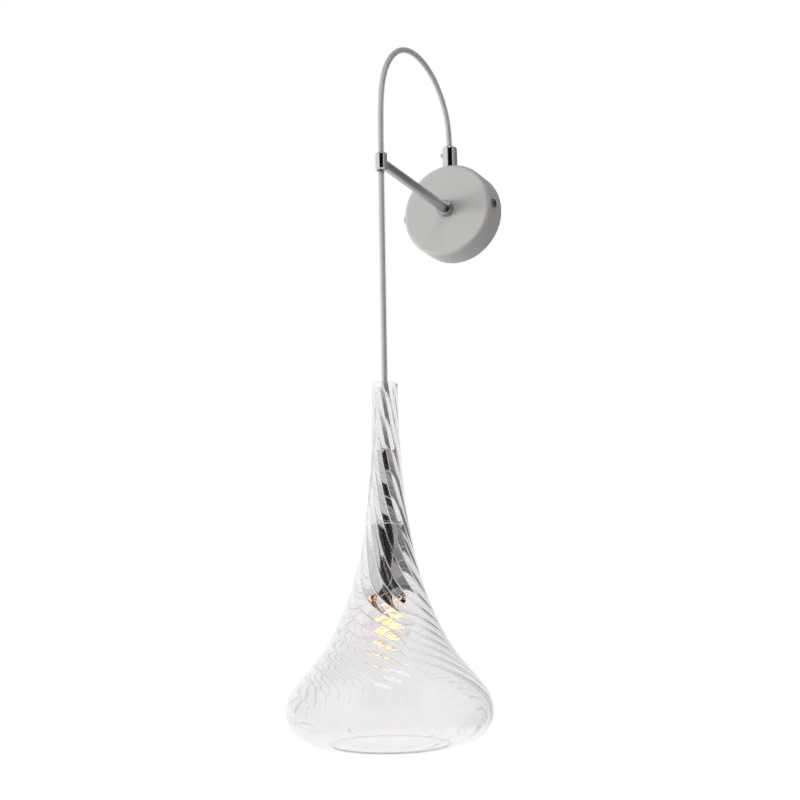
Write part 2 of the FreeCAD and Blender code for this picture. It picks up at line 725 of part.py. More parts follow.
# ---------------------------------------------------------------- pendant
def grip_screw_base():
    return PENDANT_AXIS + UP * (GRIP_TOP - GRIP_SCREW_DROP)


def cord_grip():
    bore = CORD_RADIUS + CORD_GAP
    thread = NIPPLE_RADIUS + THREAD_GAP
    body = lathe([
        (thread, GRIP_BOTTOM),
        (STEM_RADIUS, GRIP_BOTTOM, JOINT_ROUNDING),
        (STEM_RADIUS, GRIP_TOP, GRIP_ROUNDING),
        (bore, GRIP_TOP),
        (bore, GRIP_BOTTOM + GRIP_THREAD_DEPTH),
        (thread, GRIP_BOTTOM + GRIP_THREAD_DEPTH),
    ])
    hole = cylinder(GRUB_SCREW_RADIUS + THREAD_GAP, 2 * STEM_RADIUS, grip_screw_base(), TO_WALL)
    return body.cut(hole)


def grip_screw():
    tip = CORD_RADIUS + THREAD_GAP
    base = grip_screw_base() + TO_WALL * tip
    return grub_screw(GRUB_SCREW_RADIUS, STEM_RADIUS - tip - BODY_GAP, base, TO_WALL)


def stem_tube():
    return lathe([
        (STEM_RADIUS - STEM_WALL, CUP_TOP),
        (STEM_RADIUS, CUP_TOP),
        (STEM_RADIUS, GRIP_BOTTOM, JOINT_ROUNDING),
        (STEM_RADIUS - STEM_WALL, GRIP_BOTTOM),
    ])


def holder_nipple():
    top = GRIP_BOTTOM + GRIP_THREAD_DEPTH - BODY_GAP
    return tube_ring(NIPPLE_RADIUS, CORD_RADIUS + HOLDER_NIPPLE_GAP,
                     HOLDER_TOP - HOLDER_NIPPLE_IN_HOLDER, top)


def holder_cup():
    hole = NIPPLE_RADIUS + NIPPLE_HOLE_GAP
    return lathe([
        (hole, CUP_TOP),
        (CUP_TOP_RADIUS, CUP_TOP, CUP_ROUNDING),
        (CUP_BOTTOM_RADIUS, CUP_BOTTOM),
        (CUP_BOTTOM_RADIUS - CUP_WALL, CUP_BOTTOM),
        (CUP_TOP_RADIUS - CUP_WALL, CUP_TOP - CUP_WALL, CUP_ROUNDING - CUP_WALL),
        (hole, CUP_TOP - CUP_WALL),
    ])


def cup_nut():
    return hex_nut(CUP_NUT_FLATS, CUP_NUT_THICKNESS, NIPPLE_RADIUS + THREAD_GAP,
                   PENDANT_AXIS + UP * (CUP_TOP - CUP_WALL), DOWN)


def holder_screw_xs():
    return (-HOLDER_SCREW_OFFSET, HOLDER_SCREW_OFFSET)


def holder_insulator():
    socket = THREAD_SHELL_RADIUS + THREAD_GAP
    body = lathe([
        (0, HOLDER_TOP),
        (HOLDER_RADIUS, HOLDER_TOP, HOLDER_TOP_ROUNDING),
        (HOLDER_RADIUS, HOLDER_BOTTOM, HOLDER_RIM_ROUNDING),
        (socket, HOLDER_BOTTOM),
        (socket, HOLDER_SOCKET_TOP),
        (0, HOLDER_SOCKET_TOP),
    ])
    wire_room = cylinder(WIRE_ROOM_RADIUS, HOLDER_TOP - HOLDER_ROOF - HOLDER_FLOOR_TOP,
                         PENDANT_AXIS + UP * HOLDER_FLOOR_TOP, UP)
    body = body.cut(wire_room)
    nipple_hole = cylinder(NIPPLE_RADIUS + THREAD_GAP, HOLDER_ROOF,
                           PENDANT_AXIS + UP * (HOLDER_TOP - HOLDER_ROOF), UP)
    body = body.cut(nipple_hole)
    for x in holder_screw_xs():
        base = PENDANT_AXIS + UP * HOLDER_SOCKET_TOP + TO_RIGHT * x
        body = body.cut(cylinder(HOLDER_SCREW_RADIUS + THREAD_GAP, HOLDER_FLOOR, base, UP))
    return body


def holder_thread_shell():
    return tube_ring(THREAD_SHELL_RADIUS, THREAD_SHELL_BORE, HOLDER_BOTTOM + THREAD_SHELL_RECESS,
                     CONTACT_BOTTOM)


def contact_strip(low_x, high_x, screw_x):
    corner = PENDANT_AXIS + Vector(low_x, -CONTACT_WIDTH / 2, CONTACT_BOTTOM)
    strip = Part.makeBox(high_x - low_x, CONTACT_WIDTH, CONTACT_THICKNESS, corner)
    base = PENDANT_AXIS + Vector(screw_x, 0, CONTACT_BOTTOM)
    hole = cylinder(HOLDER_SCREW_RADIUS + THREAD_GAP, CONTACT_THICKNESS, base, UP)
    return strip.cut(hole)


def holder_centre_contact():
    screw_x = holder_screw_xs()[0]
    strip = contact_strip(screw_x - CONTACT_WIDTH / 2, CONTACT_KNOB_RADIUS, screw_x)
    knob = lathe([
        (0, CONTACT_BOTTOM - CONTACT_KNOB_DROP),
        (CONTACT_KNOB_RADIUS, CONTACT_BOTTOM - CONTACT_KNOB_DROP, CONTACT_KNOB_RADIUS / 2),
        (CONTACT_KNOB_RADIUS, CONTACT_BOTTOM),
        (0, CONTACT_BOTTOM),
    ])
    return strip.fuse(knob).removeSplitter()


def holder_side_contact():
    screw_x = holder_screw_xs()[1]
    return contact_strip(screw_x - CONTACT_WIDTH / 2, THREAD_SHELL_BORE + CONTACT_THICKNESS / 2,
                         screw_x)


def holder_terminal_screws():
    screws = []
    for x in holder_screw_xs():
        seat = PENDANT_AXIS + UP * HOLDER_FLOOR_TOP + TO_RIGHT * x
        screws.append(pan_screw(HOLDER_SCREW_RADIUS, HOLDER_FLOOR + CONTACT_THICKNESS,
                                HOLDER_SCREW_HEAD_RADIUS, HOLDER_SCREW_HEAD_HEIGHT, seat, DOWN))
    return Part.makeCompound(screws)


def holder_leads():
    """The two conductors from the cord's end to the heads of the terminal screws."""
    leads = []
    head_top = HOLDER_FLOOR_TOP + HOLDER_SCREW_HEAD_HEIGHT
    for x in holder_screw_xs():
        start_x = math.copysign(CORE_OFFSET, x)
        points = [
            PENDANT_AXIS + Vector(start_x, 0, HOLDER_CORD_END),
            PENDANT_AXIS + Vector(start_x, 0, HOLDER_CORD_END - LEAD_STRAIGHT),
            PENDANT_AXIS + Vector(x, 0, head_top + LEAD_STRAIGHT),
            PENDANT_AXIS + Vector(x, 0, head_top),
        ]
        leads.append(tube(points, CORE_RADIUS, "holder lead"))
    return Part.makeCompound(leads)


# ---------------------------------------------------------------- bulb
def bulb_contact():
    return lathe([
        (0, BULB_TIP - BULB_CONTACT_LENGTH),
        (BULB_CONTACT_RADIUS, BULB_TIP - BULB_CONTACT_LENGTH),
        (BULB_CONTACT_RADIUS, BULB_TIP, BULB_CONTACT_RADIUS / 2),
        (0, BULB_TIP),
    ])


def bulb_cap():
    wall = BULB_CAP_WALL
    crown = BULB_CAP_TOP + BULB_CAP_CROWN
    return lathe([
        (BULB_CAP_RADIUS, BULB_CAP_RIM, BULB_CAP_RIM_ROUNDING),
        (BULB_CAP_RADIUS, BULB_CAP_TOP, BULB_CAP_SHOULDER_ROUNDING),
        (BULB_CROWN_RADIUS, crown),
        (BULB_CROWN_RADIUS - wall, crown),
        (BULB_CAP_RADIUS - wall, BULB_CAP_TOP - wall, BULB_CAP_SHOULDER_ROUNDING - wall),
        (BULB_CAP_RADIUS - wall, BULB_CAP_RIM),
    ])


def bulb_cap_insulator():
    crown = BULB_CAP_TOP + BULB_CAP_CROWN
    radius = BULB_CROWN_RADIUS - BULB_CAP_WALL
    top = BULB_TIP - BULB_CONTACT_PROUD
    contact_room = BULB_CONTACT_RADIUS + BODY_GAP
    floor = BULB_TIP - BULB_CONTACT_LENGTH - BODY_GAP
    return lathe([
        (0, floor),
        (0, floor - VITRITE_DEPTH),
        (radius - THREAD_GAP, floor - VITRITE_DEPTH),
        (radius - THREAD_GAP, crown),
        (VITRITE_TOP_RADIUS, top),
        (contact_room, top),
        (contact_room, floor),
    ])


def globe_wire(shrink):
    """Half outline of the bulb's envelope, set in by shrink, from its neck to its pole."""
    radius = GLOBE_RADIUS - shrink
    neck = BULB_CAP_RADIUS - BULB_CAP_WALL - THREAD_GAP - shrink
    neck_low = BULB_CAP_RIM - BULB_NECK_BELOW_CAP
    join_angle = math.asin(NECK_JOIN_SHARE)
    join = Vector(radius * math.sin(join_angle), 0, GLOBE_CENTRE + radius * math.cos(join_angle))
    top = Vector(neck, 0, BULB_CAP_RIM + BULB_NECK_IN_CAP)
    neck_end = Vector(neck, 0, neck_low)
    pole = Vector(0, 0, GLOBE_CENTRE - radius)
    middle_angle = (join_angle + math.pi) / 2
    middle = Vector(radius * math.sin(middle_angle), 0,
                    GLOBE_CENTRE + radius * math.cos(middle_angle))
    tangent = Vector(math.cos(join_angle), 0, -math.sin(join_angle))
    flare = Part.BSplineCurve()
    flare.interpolate(Points=[neck_end, join], InitialTangent=Vector(0, 0, -BULB_NECK_FLARE),
                      FinalTangent=tangent * BULB_NECK_FLARE)
    edges = [
        Part.LineSegment(top, neck_end).toShape(),
        flare.toShape(),
        Part.Arc(join, middle, pole).toShape(),
    ]
    return edges, top, pole


def bulb_glass():
    outer, outer_top, outer_pole = globe_wire(0.0)
    inner, inner_top, inner_pole = globe_wire(GLOBE_WALL)
    rim = Part.LineSegment(inner_top, outer_top).toShape()
    bottom = Part.LineSegment(outer_pole, inner_pole).toShape()
    wire = Part.Wire(Part.__sortEdges__(outer + inner + [rim, bottom]))
    solid = Part.Face(wire).revolve(Vector(0, 0, 0), UP, 360)
    return place(solid, PENDANT_AXIS, UP)


def bulb_mount():
    """Glass stem that closes the bulb's neck and holds the filament's wires."""
    neck_bore = BULB_CAP_RADIUS - BULB_CAP_WALL - 2 * THREAD_GAP - GLOBE_WALL
    top = BULB_CAP_RIM + BULB_NECK_IN_CAP
    return lathe([
        (0, top),
        (neck_bore, top),
        (neck_bore, top - MOUNT_FLARE_THICKNESS),
        (MOUNT_ROD_RADIUS, top - 4 * MOUNT_FLARE_THICKNESS, MOUNT_ROD_RADIUS),
        (MOUNT_ROD_RADIUS, MOUNT_ROD_END, MOUNT_ROD_RADIUS * MOUNT_ROUNDING_SHARE),
        (0, MOUNT_ROD_END),
    ])


def filament_points():
    """Zigzag round the mount: it starts and ends at the top."""
    count = 2 * FILAMENT_LOOPS + 1
    points = []
    for k in range(count):
        angle = 2 * math.pi * k / (count + 1)
        at_top = k % 2 == 0
        radius = FILAMENT_TOP_RADIUS if at_top else FILAMENT_BOTTOM_RADIUS
        height = FILAMENT_TOP if at_top else FILAMENT_BOTTOM
        outward = Vector(math.cos(angle), math.sin(angle), 0)
        points.append(PENDANT_AXIS + outward * radius + UP * height)
    return points


def bulb_filament():
    corners = filament_points()
    strands = []
    for start, end in zip(corners[:-1], corners[1:]):
        along = end - start
        strands.append(cylinder(FILAMENT_RADIUS, along.Length, start, along))
    for corner in corners:
        strands.append(Part.makeSphere(FILAMENT_RADIUS, corner))
    first = strands[0]
    return first.multiFuse(strands[1:])


def bulb_support_wires():
    """A hook from the mount to each corner of the filament."""
    wires = []
    for corner in filament_points():
        foot = Vector(PENDANT_AXIS.x, PENDANT_AXIS.y, corner.z)
        outward = (corner - foot).normalize()
        start = MOUNT_ROD_RADIUS
        end = corner.distanceToPoint(foot) - FILAMENT_RADIUS - SUPPORT_GAP
        wires.append(cylinder(SUPPORT_WIRE_RADIUS, end - start, foot + outward * start, outward))
    return Part.makeCompound(wires)


# ---------------------------------------------------------------- glass shade
def outline_curve(points):
    curve = Part.BSplineCurve()
    curve.interpolate([Vector(radius, 0, NECK_TOP - drop) for radius, drop in points])
    return curve


def outer_curve():
    return outline_curve(SHADE_OUTLINE)


def inner_points():
    """The outer outline set in by the wall, square to it, at even stations."""
    curve = outer_curve()
    length = curve.length()
    points = []
    for k in range(OUTLINE_SAMPLES + 1):
        parameter = curve.parameterAtDistance(length * k / OUTLINE_SAMPLES)
        tangent = curve.tangent(parameter)[0]
        outward = Vector(-tangent.z, 0, tangent.x)
        points.append(curve.value(parameter) - outward * SHADE_WALL)
    return points


def inner_radius_at(height):
    """Radius of the shade's inner face at a height above its widest place."""
    points = inner_points()
    for above, below in zip(points[:-1], points[1:]):
        if below.z <= height <= above.z:
            share = (above.z - height) / (above.z - below.z)
            return above.x + share * (below.x - above.x)
    return points[0].x


def rim_arc(outer_end, inner_end, beyond):
    """Half round that joins the two faces at a rim; beyond points off the glass."""
    middle = (outer_end + inner_end) * 0.5 + beyond * (SHADE_WALL / 2)
    return Part.Arc(outer_end, middle, inner_end).toShape()


def glass_shade():
    outer = outer_curve()
    inside = inner_points()
    inner = Part.BSplineCurve()
    inner.interpolate(inside)
    top_out = outer.value(outer.FirstParameter)
    bottom_out = outer.value(outer.LastParameter)
    top_along = outer.tangent(outer.FirstParameter)[0]
    bottom_along = outer.tangent(outer.LastParameter)[0]
    edges = [
        outer.toShape(),
        rim_arc(bottom_out, inside[-1], bottom_along),
        inner.toShape(),
        rim_arc(top_out, inside[0], top_along * -1),
    ]
    wire = Part.Wire(Part.__sortEdges__(edges))
    solid = Part.Face(wire).revolve(Vector(0, 0, 0), UP, 360)
    return place(solid, PENDANT_AXIS, UP)


def seat_ring():
    """Soft ring on the cup's shoulder; the glass rests on its sloping edge."""
    low = CUP_TOP + BODY_GAP
    high = low + RING_THICKNESS
    return lathe([
        (RING_BORE, low),
        (inner_radius_at(low) - BODY_GAP, low),
        (inner_radius_at(high) - BODY_GAP, high),
        (RING_BORE, high),
    ])


NODES = {
    "wall_bracket": wall_bracket,
    "rose_cover": rose_cover,
    "cover_screws": cover_screws,
    "arm_collar": arm_collar,
    "arm_rod": arm_rod,
    "arm_stud": arm_stud,
    "arm_washer": arm_washer,
    "arm_nut": arm_nut,
    "arm_sleeve": arm_sleeve,
    "cable_gland": cable_gland,
    "gland_grub_screw": gland_grub_screw,
    "gland_locknut": gland_locknut,
    "cord_tail": cord_tail,
    "cord_arch": cord_arch,
    "cord_bend": cord_bend,
    "cord_drop": cord_drop,
    "terminal_block": terminal_block,
    "terminal_inserts": terminal_inserts,
    "terminal_screws": terminal_screws,
    "terminal_fixing_screw": terminal_fixing_screw,
    "lead_brown": lead_brown,
    "lead_blue": lead_blue,
    "lead_earth": lead_earth,
    "earth_washer": earth_washer,
    "earth_screw": earth_screw,
    "cord_grip": cord_grip,
    "grip_screw": grip_screw,
    "stem_tube": stem_tube,
    "holder_nipple": holder_nipple,
    "holder_cup": holder_cup,
    "cup_nut": cup_nut,
    "holder_insulator": holder_insulator,
    "holder_thread_shell": holder_thread_shell,
    "holder_centre_contact": holder_centre_contact,
    "holder_side_contact": holder_side_contact,
    "holder_terminal_screws": holder_terminal_screws,
    "holder_leads": holder_leads,
    "bulb_contact": bulb_contact,
    "bulb_cap": bulb_cap,
    "bulb_cap_insulator": bulb_cap_insulator,
    "bulb_glass": bulb_glass,
    "bulb_mount": bulb_mount,
    "bulb_filament": bulb_filament,
    "bulb_support_wires": bulb_support_wires,
    "glass_shade": glass_shade,
    "seat_ring": seat_ring,
}


def write_parts():
    os.makedirs("parts", exist_ok=True)
    for name, make in NODES.items():
        shape = make()
        print(name, "solids", len(shape.Solids), "valid", shape.isValid(),
              "volume", round(shape.Volume, 2))
        shape.exportStep("parts/" + name + ".step")


write_parts()
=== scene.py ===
import bpy
import json
import math
import numpy as np
from mathutils import Matrix, Vector


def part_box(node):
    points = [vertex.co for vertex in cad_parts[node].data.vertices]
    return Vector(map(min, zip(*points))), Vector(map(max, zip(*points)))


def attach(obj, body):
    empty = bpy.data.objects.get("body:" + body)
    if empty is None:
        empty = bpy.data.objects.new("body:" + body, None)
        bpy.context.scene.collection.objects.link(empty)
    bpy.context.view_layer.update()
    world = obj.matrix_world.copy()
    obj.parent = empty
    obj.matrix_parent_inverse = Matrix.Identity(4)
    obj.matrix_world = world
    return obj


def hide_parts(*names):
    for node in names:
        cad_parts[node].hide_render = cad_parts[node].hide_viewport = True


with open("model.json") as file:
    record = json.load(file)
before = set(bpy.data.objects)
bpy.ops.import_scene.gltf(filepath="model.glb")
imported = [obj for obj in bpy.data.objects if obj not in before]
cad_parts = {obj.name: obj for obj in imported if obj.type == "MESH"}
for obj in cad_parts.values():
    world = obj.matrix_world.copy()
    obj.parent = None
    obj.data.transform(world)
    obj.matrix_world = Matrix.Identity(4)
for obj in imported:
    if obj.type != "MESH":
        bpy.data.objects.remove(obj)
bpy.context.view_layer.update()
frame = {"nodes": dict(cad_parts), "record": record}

# The looks of a hanging wall light.  Everything is in metres, in the frame of the CAD part:
# the wall is y = 0, the room is at -Y, and +Z is up.
MM = 0.001

# ---------------------------------------------------------------- places, from the frame
SLEEVE_LOW, SLEEVE_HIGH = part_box("arm_sleeve")
SHADE_LOW, SHADE_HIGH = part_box("glass_shade")
GLAND_LOW, GLAND_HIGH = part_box("cable_gland")
ARCH_LOW, ARCH_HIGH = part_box("cord_arch")
DROP_LOW, DROP_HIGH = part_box("cord_drop")
FILAMENT_LOW, FILAMENT_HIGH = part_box("bulb_filament")
AXIS_Y = (SLEEVE_LOW.y + SLEEVE_HIGH.y) / 2
GLAND_Y = (GLAND_LOW.y + GLAND_HIGH.y) / 2
GLAND_TOP = GLAND_HIGH.z
CORD_END = DROP_LOW.z
CORD_RADIUS = (DROP_HIGH.x - DROP_LOW.x) / 2

# ---------------------------------------------------------------- camera
CAMERA_PLACE = Vector((1.01898, -2.14588, -0.92208))
CAMERA_YAW = 0.47083
CAMERA_PITCH = 0.29523
CAMERA_ROLL = -0.01793
CAMERA_LENS = 108.0
SENSOR = 36.0
CLIP_NEAR, CLIP_FAR = 0.01, 50.0


def camera_axes():
    """Right, up and forward of the camera in the room's frame."""
    level = math.cos(CAMERA_PITCH)
    forward = Vector((-math.sin(CAMERA_YAW) * level, math.cos(CAMERA_YAW) * level,
                      math.sin(CAMERA_PITCH)))
    right = Vector((math.cos(CAMERA_YAW), math.sin(CAMERA_YAW), 0))
    up = right.cross(forward)
    turned_right = right * math.cos(CAMERA_ROLL) + up * math.sin(CAMERA_ROLL)
    turned_up = up * math.cos(CAMERA_ROLL) - right * math.sin(CAMERA_ROLL)
    return turned_right, turned_up, forward


def make_camera():
    right, up, forward = camera_axes()
    data = bpy.data.cameras.new("camera")
    data.lens = CAMERA_LENS
    data.sensor_width = SENSOR
    data.sensor_height = SENSOR
    data.sensor_fit = "HORIZONTAL"
    data.clip_start = CLIP_NEAR
    data.clip_end = CLIP_FAR
    camera = bpy.data.objects.new("camera", data)
    bpy.context.scene.collection.objects.link(camera)
    turn = Matrix((right, up, -forward)).transposed().to_4x4()
    camera.matrix_world = Matrix.Translation(CAMERA_PLACE) @ turn
    bpy.context.scene.camera = camera


make_camera()

# ---------------------------------------------------------------- helpers
OFF_AXIS = [0.36, 0.48, 0.8]   # a direction that no wire runs along


def add_object(name, data):
    made = bpy.data.objects.new(name, data)
    bpy.context.scene.collection.objects.link(made)
    return made


def mesh_object(name, points, faces):
    data = bpy.data.meshes.new(name)
    data.from_pydata([tuple(p) for p in points], [], [tuple(f) for f in faces])
    data.validate()
    data.shade_smooth()
    return add_object(name, data)


def nurbs_curve(name, points, radius):
    """Round cord on one smooth line whose control points are the route's points."""
    data = bpy.data.curves.new(name, "CURVE")
    data.dimensions = "3D"
    spline = data.splines.new("NURBS")
    spline.points.add(len(points) - 1)
    for target, point in zip(spline.points, points):
        target.co = (point[0], point[1], point[2], 1.0)
        target.radius = radius
    spline.order_u = 3
    spline.use_endpoint_u = True
    spline.resolution_u = 16
    data.bevel_depth = 1.0
    data.bevel_resolution = 8
    data.use_fill_caps = True
    return add_object(name, data)


def line_of(curve):
    """Points along a cord's own line, as Blender draws it."""
    bare = curve.data.copy()
    bare.bevel_depth = 0.0
    holder = bpy.data.objects.new("bare_line", bare)
    mesh = bpy.data.meshes.new_from_object(holder)
    points = np.array([v.co[:] for v in mesh.vertices])
    bpy.data.objects.remove(holder)
    bpy.data.meshes.remove(mesh)
    return points


def tubes(name, lines, radius, sides):
    """Round wires along lines of points, as one mesh."""
    points, faces = [], []
    for line in lines:
        line = np.asarray(line)
        along = np.gradient(line, axis=0)
        along /= np.linalg.norm(along, axis=1)[:, None]
        side = np.cross(along, OFF_AXIS)
        side /= np.linalg.norm(side, axis=1)[:, None]
        third = np.cross(along, side)
        angles = 2 * np.pi * np.arange(sides) / sides
        ring = (line[:, None] + radius * (np.cos(angles)[None, :, None] * side[:, None]
                                          + np.sin(angles)[None, :, None] * third[:, None]))
        first = sum(len(p) for p in points)
        points.append(ring.reshape(-1, 3))
        index = first + np.arange(len(line) * sides).reshape(len(line), sides)
        beside = np.roll(index, -1, axis=1)
        faces += np.stack([index[:-1], beside[:-1], beside[1:], index[1:]], -1).reshape(-1, 4).tolist()
        faces += [index[0].tolist()[::-1], index[-1].tolist()]
    return mesh_object(name, np.concatenate(points), faces)


def even_line(points, step):
    """The same line with even steps."""
    length = np.concatenate([[0], np.cumsum(np.linalg.norm(np.diff(points, axis=0), axis=1))])
    stations = np.linspace(0, length[-1], max(2, int(length[-1] / step)) + 1)
    return np.stack([np.interp(stations, length, points[:, i]) for i in range(3)], 1), stations


# ---------------------------------------------------------------- the cord's route
# The free stretch from the gland over the arch to the sleeve's mouth: (y, z) at x = 0.
ARCH_ROUTE = [
    (GLAND_Y, GLAND_TOP),
    (GLAND_Y, 0.0845),
    (-0.0212, 0.1062),
    (-0.0358, 0.1283),
    (-0.0570, 0.1432),
    (-0.0826, 0.1504),
    (-0.1091, 0.1496),
    (-0.1330, 0.1403),
    (-0.1532, 0.1233),
    (-0.1675, 0.1011),
    (-0.1738, 0.0765),
    (-0.1754, 0.0485),
    (AXIS_Y, 0.0200),
    (AXIS_Y, ARCH_LOW.z),
]

arch = nurbs_curve("cord_arch_jacket", [(0, y, z) for y, z in ARCH_ROUTE], CORD_RADIUS)
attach(arch, "wall_fixture")
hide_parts("cord_arch")

drop_heights = np.linspace(DROP_HIGH.z, CORD_END, 9)
drop = nurbs_curve("cord_drop_jacket", [(0, AXIS_Y, z) for z in drop_heights], CORD_RADIUS)
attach(drop, "pendant")
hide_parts("cord_drop")

BRAID_RADIUS = 1.60 * MM
BRAID_RELIEF = 0.04 * MM     # by which the wires pass over and under each other
BRAID_WIRES = 9              # turning each way
BRAID_PITCH = 15 * MM
BRAID_STEP = 0.6 * MM
BRAID_SIDES = 40


def braid(name, curve):
    """Metal braid inside the clear jacket, along the cord's own line."""
    line, stations = even_line(line_of(curve), BRAID_STEP)
    along = np.gradient(line, axis=0)
    along /= np.linalg.norm(along, axis=1)[:, None]
    side = np.array([1.0, 0.0, 0.0])
    third = np.cross(along, side)
    around = 2 * np.pi * np.arange(BRAID_SIDES) / BRAID_SIDES
    turned = 2 * np.pi * BRAID_WIRES * stations[:, None] / BRAID_PITCH
    crossing = np.cos(BRAID_WIRES * around + turned) * np.cos(BRAID_WIRES * around - turned)
    reach = (BRAID_RADIUS + BRAID_RELIEF * crossing)[:, :, None]
    points = line[:, None] + reach * (np.cos(around)[None, :, None] * side
                                      + np.sin(around)[None, :, None] * third[:, None])
    index = np.arange(len(line) * BRAID_SIDES).reshape(len(line), BRAID_SIDES)
    beside = np.roll(index, -1, axis=1)
    faces = np.stack([index[:-1], beside[:-1], beside[1:], index[1:]], -1).reshape(-1, 4).tolist()
    faces += [index[0].tolist()[::-1], index[-1].tolist()]
    return mesh_object(name, points.reshape(-1, 3), faces)


arch_braid, drop_braid = braid("cord_arch_braid", arch), braid("cord_drop_braid", drop)
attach(arch_braid, "wall_fixture")
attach(drop_braid, "pendant")

# ---------------------------------------------------------------- the glowing wire
FILAMENT_LEGS = 11
FILAMENT_TOP_RADIUS = 8.0 * MM
FILAMENT_BOTTOM_RADIUS = 10.5 * MM
COIL_RADIUS = 0.55 * MM


def make_filament():
    """Zigzag of coiled wire between the upper and the lower supports."""
    corners = []
    for k in range(FILAMENT_LEGS):
        turn = 2 * np.pi * k / (FILAMENT_LEGS + 1)
        high = k % 2 == 0
        radius = FILAMENT_TOP_RADIUS if high else FILAMENT_BOTTOM_RADIUS
        corners.append((radius * math.cos(turn), AXIS_Y + radius * math.sin(turn),
                        FILAMENT_HIGH.z - COIL_RADIUS if high else FILAMENT_LOW.z + COIL_RADIUS))
    corners = np.array(corners)
    legs = [np.linspace(corners[k], corners[k + 1], 9) for k in range(FILAMENT_LEGS - 1)]
    return tubes("glowing_coil", legs, COIL_RADIUS, 10)


filament = make_filament()
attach(filament, "bulb")
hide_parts("bulb_filament")


# ---------------------------------------------------------------- glass shade
WALL = 2.4 * MM
RIB_COUNT = 18
# Columns of one rib, as shares of the rib's width from the valley on its one side.
RIB_STATIONS = [0, 0.012, 0.026, 0.045, 0.075, 0.13, 0.22, 0.34, 0.5,
                0.66, 0.78, 0.87, 0.925, 0.955, 0.974, 0.988]
COLUMNS_PER_RIB = len(RIB_STATIONS)
CREASE_HALF_WIDTH = 0.034   # of the fine crease along each valley, in ribs
# Depth of the crease against the rib's own depth, at a drop in millimetres.
CREASE_SHARES = [(0, 0.2), (150, 0.5), (265, 0.45), (295, 0.12), (349, 0.0)]
# Depth of the valleys between the ribs at a drop, both in millimetres.
RIB_DEPTHS = [(0, 0), (8, 0.45), (60, 0.6), (120, 0.85), (210, 0.9), (260, 0.9), (300, 1.0),
              (340, 0.8), (349, 0.3)]
RIM_DROP = 349   # of the rim of the opening, in millimetres
OUTER_ROWS = 230
INNER_ROWS = 120
RIM_ROWS = 8
# Outer outline from the neck's rim down to the rim of the opening: radius, drop.
SHADE_OUTLINE = [
    (0.0130, 0.0),
    (0.01245, 0.012),
    (0.0127, 0.029),
    (0.0149, 0.077),
    (0.0195, 0.127),
    (0.0282, 0.177),
    (0.0446, 0.227),
    (0.0650, 0.265),
    (0.0888, 0.295),
    (0.0954, 0.307),
    (0.0974, 0.318),
    (0.0918, 0.333),
    (0.0750, 0.345),
    (0.0552, 0.349),
]
# How far the ribs have turned at a drop, in degrees, with the drop in millimetres: a steady
# swirl, a quicker one from the waist on, and a slower one below the widest place.
STEADY_SWIRL = 0.69
WAIST_SWIRL = 1.06
WAIST_DROP = 187.0
WAIST_LENGTH = 60.0
BULGE_SWIRL = -0.85
BULGE_DROP = 287.0
BULGE_LENGTH = 36.0
VALLEY_DROP = 263.9
VALLEY_AZIMUTH = -17.65


def smooth_start(t):
    """0 before 0, then a smooth start of a line of slope 1."""
    inside = np.clip(t, 0.0, 1.0)
    return inside ** 3 - inside ** 4 / 2 + np.clip(t - 1.0, 0.0, None)


def swirl(drop_mm):
    waist = WAIST_SWIRL * WAIST_LENGTH * smooth_start((drop_mm - WAIST_DROP) / WAIST_LENGTH)
    bulge = BULGE_SWIRL * BULGE_LENGTH * smooth_start((drop_mm - BULGE_DROP) / BULGE_LENGTH)
    return STEADY_SWIRL * drop_mm + waist + bulge


def valley_azimuth(drop_mm):
    return np.radians(VALLEY_AZIMUTH + swirl(drop_mm) - swirl(VALLEY_DROP))


def natural_spline(knots, values, at):
    """Values of a smooth curve through the knots."""
    steps = np.diff(knots)
    slopes = np.diff(values) / steps
    count = len(knots)
    system = np.eye(count)
    right = np.zeros(count)
    for i in range(1, count - 1):
        system[i, i - 1:i + 2] = steps[i - 1], 2 * (steps[i - 1] + steps[i]), steps[i]
        right[i] = 6 * (slopes[i] - slopes[i - 1])
    bends = np.linalg.solve(system, right)
    span = np.clip(np.searchsorted(knots, at) - 1, 0, count - 2)
    ahead = at - knots[span]
    left = knots[span + 1] - at
    step = steps[span]
    return ((bends[span] * left ** 3 + bends[span + 1] * ahead ** 3) / (6 * step)
            + (values[span] / step - bends[span] * step / 6) * left
            + (values[span + 1] / step - bends[span + 1] * step / 6) * ahead)


def outline(rows):
    """Outer outline at even stations: points (radius, height) and unit outward normals."""
    knots = np.array(SHADE_OUTLINE)
    chord = np.concatenate([[0], np.cumsum(np.hypot(*np.diff(knots, axis=0).T))])
    fine = np.linspace(0, chord[-1], 4000)
    radius = natural_spline(chord, knots[:, 0], fine)
    height = SHADE_HIGH.z - WALL / 2 - natural_spline(chord, knots[:, 1], fine)
    length = np.concatenate([[0], np.cumsum(np.hypot(np.diff(radius), np.diff(height)))])
    even = np.interp(np.linspace(0, length[-1], rows), length, fine)
    points = np.stack([np.interp(even, fine, radius), np.interp(even, fine, height)], 1)
    along = np.gradient(points, axis=0)
    along /= np.linalg.norm(along, axis=1)[:, None]
    outward = np.stack([-along[:, 1], along[:, 0]], 1)
    return points, outward, along


def rib_depth(drop_mm):
    """Depth of the valleys between the ribs, which grow shallow towards both rims."""
    grown = np.interp(drop_mm, *zip(*RIB_DEPTHS))
    return grown * MM


def rib_profile(phase, drop_mm):
    """0 on a rib's crest and over 1 in the crease between two ribs; phase counts ribs."""
    off_valley = (phase + 0.5) % 1.0 - 0.5
    share = np.interp(drop_mm, *zip(*CREASE_SHARES))
    return 1 - np.abs(np.sin(np.pi * phase)) + share * np.exp(-(off_valley / CREASE_HALF_WIDTH) ** 2)


